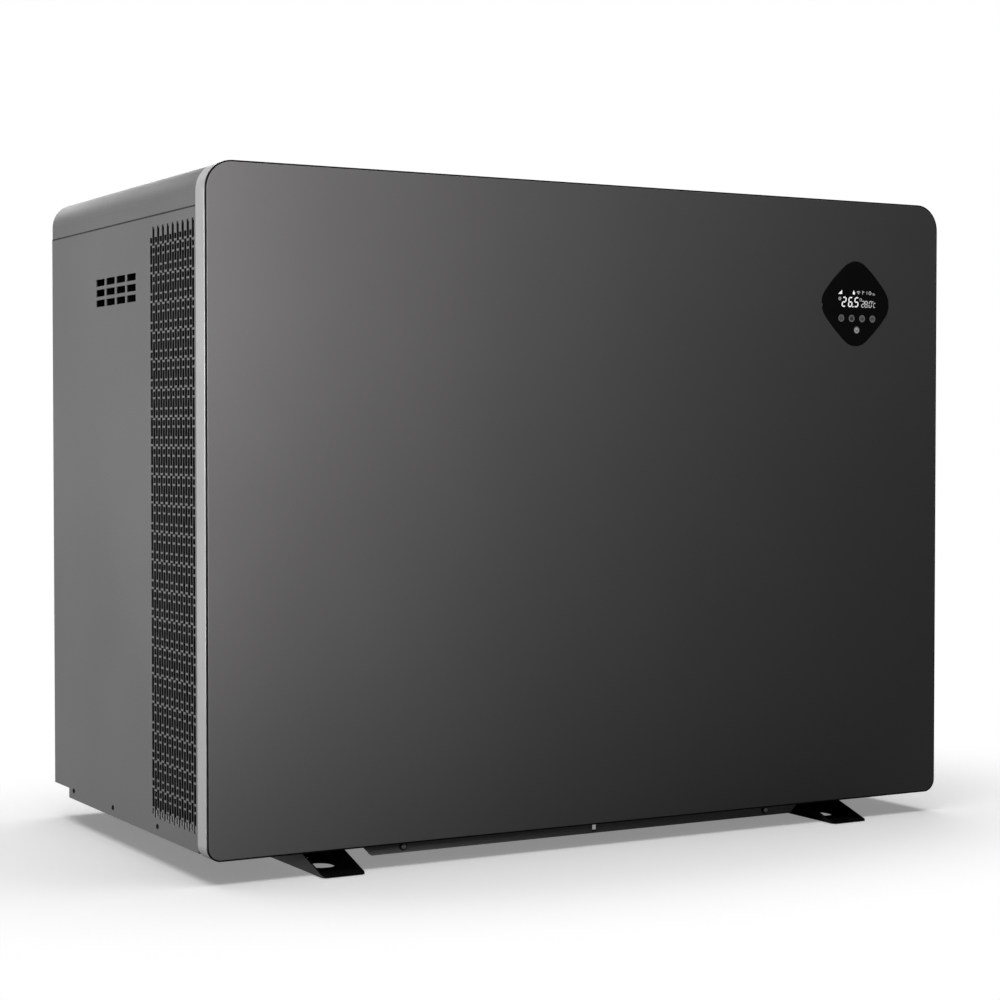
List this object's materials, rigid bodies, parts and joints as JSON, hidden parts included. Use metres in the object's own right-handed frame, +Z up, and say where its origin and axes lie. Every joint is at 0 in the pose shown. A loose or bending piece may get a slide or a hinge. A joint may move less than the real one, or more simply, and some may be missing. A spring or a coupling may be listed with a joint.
{
  "type": "pool heat pump unit",
  "caption": "Side-discharge pool heat pump: flat rounded front with a diamond touch controller, punched side outlets, rounded top cover and two foot rails.",
  "frame": {"origin": "ground level, at the centre of the four anchor holes in the foot rails", "axes": "+Z up, the flat front faces -Y, +X to the right seen from the front (water unions side)"},
  "size_m": [1.042, 0.536, 0.744],
  "materials": {
    "graphite_coat": "fine metallic powder coat",
    "graphite_front": "fine metallic powder coat, satin",
    "silver_frame": "satin light grey",
    "black_gasket": "matte black",
    "black_coat": "black powder coat",
    "galvanised": "galvanised sheet",
    "zinc_screw": "zinc plated",
    "dark_screw": "black oxide",
    "black_plastic": "moulded, matte",
    "display_glass": "black gloss",
    "fin_aluminium": "hydrophilic coated fins",
    "copper": "drawn copper tube",
    "motor_case": "black enamel",
    "steel": "turned steel",
    "fan_plastic": "glass-filled nylon",
    "compressor_black": "black enamel",
    "rubber": "soft rubber",
    "pvc_grey": "grey PVC-U",
    "pvc_white": "white PVC-U",
    "titanium": "titanium tube",
    "brass": "machined brass",
    "board_green": "soldermask",
    "aluminium_cast": "extruded",
    "gauge_face": "printed white dial",
    "clear_lens": "clear",
    "red_needle": "red enamel"
  },
  "bodies": {
    "casing": {"front_panel": "graphite_front", "panel_edge_trim": "black_gasket", "front_frame": "silver_frame", "top_cover": "graphite_coat", "left_side_panel": "graphite_coat", "right_side_panel": "graphite_coat", "vent_inserts": "black_plastic", "rear_posts": "galvanised", "base_pan": "graphite_coat", "left_foot_rail": "black_coat", "right_foot_rail": "black_coat", "casing_screws": "dark_screw", "apron_screws": "zinc_screw", "apron_washers": "rubber", "floor_bolts": "zinc_screw", "fan_deck": "black_coat", "partition_panel": "galvanised", "rear_panel": "graphite_coat", "rear_grille": "black_coat", "evaporator_fin_pack": "fin_aluminium", "evaporator_end_plates": "galvanised", "evaporator_tubes": "copper", "fan_motor_case": "motor_case", "fan_motor_stator": "steel", "fan_motor_bracket": "galvanised", "compressor_housing": "compressor_black", "accumulator": "compressor_black", "compressor_grommets": "rubber", "exchanger_housing": "pvc_grey", "titanium_heat_coil": "titanium", "water_stubs": "pvc_grey", "union_tailpieces": "pvc_white", "union_o_rings": "rubber", "flow_switch_body": "black_plastic", "reversing_valve_body": "brass", "expansion_valve": "brass", "gas_lines": "copper", "liquid_lines": "copper", "controller_glass": "display_glass", "controller_housing": "black_plastic", "controller_board": "board_green", "control_box_tray": "galvanised", "control_box_lid": "galvanised", "inverter_board": "board_green", "inverter_heat_sink": "aluminium_cast", "cable_glands": "black_plastic", "pressure_gauge_case": "black_plastic", "pressure_gauge_dial": "gauge_face", "pressure_gauge_lens": "clear_lens", "drain_nozzle": "black_plastic"},
    "fan": {"fan_impeller": "fan_plastic", "fan_shaft": "steel"},
    "crank": {"compressor_crank": "steel"},
    "spool": {"reversing_valve_spool": "brass"},
    "valve_rotor": {"expansion_valve_rotor": "steel"},
    "valve_needle": {"expansion_valve_needle": "steel"},
    "paddle": {"flow_switch_paddle": "steel"},
    "gauge_pointer": {"pressure_gauge_needle": "red_needle"},
    "inlet_nut": {"water_inlet_nut": "black_plastic"},
    "outlet_nut": {"water_outlet_nut": "black_plastic"}
  },
  "joints": [
    {"name": "fan_spin", "type": "hinge", "parent": "casing", "child": "fan", "pos_m": [-0.165, -0.07, 0.366], "axis": [0, 1, 0], "continuous": true},
    {"name": "compressor_spin", "type": "hinge", "parent": "casing", "child": "crank", "pos_m": [0.24, 0.028, 0.2], "axis": [0, 0, 1], "continuous": true},
    {"name": "reversing_valve_shift", "type": "slide", "parent": "casing", "child": "spool", "axis": [1, 0, 0], "range_m": [0, 0.016]},
    {"name": "expansion_rotor_turn", "type": "hinge", "parent": "casing", "child": "valve_rotor", "pos_m": [0.19, 0.15, 0.485], "axis": [0, 0, 1], "range_deg": [0, 720]},
    {"name": "expansion_needle_lift", "type": "slide", "parent": "casing", "child": "valve_needle", "axis": [0, 0, 1], "range_m": [0, 0.002]},
    {"name": "flow_paddle_swing", "type": "hinge", "parent": "casing", "child": "paddle", "pos_m": [0.388, 0.09, 0.43], "axis": [1, 0, 0], "range_deg": [0, 20]},
    {"name": "gauge_pointer_turn", "type": "hinge", "parent": "casing", "child": "gauge_pointer", "pos_m": [0.479, -0.04, 0.38], "axis": [-1, 0, 0], "range_deg": [0, 270]},
    {"name": "inlet_nut_spin", "type": "hinge", "parent": "casing", "child": "inlet_nut", "pos_m": [0.506, 0.132, 0.13], "axis": [1, 0, 0], "continuous": true},
    {"name": "outlet_nut_spin", "type": "hinge", "parent": "casing", "child": "outlet_nut", "pos_m": [0.506, 0.132, 0.43], "axis": [1, 0, 0], "continuous": true}
  ],
  "couplings": [
    {"joint": "expansion_needle_lift", "follows": "expansion_rotor_turn", "m_per_rad": 0.00015915}
  ]
}
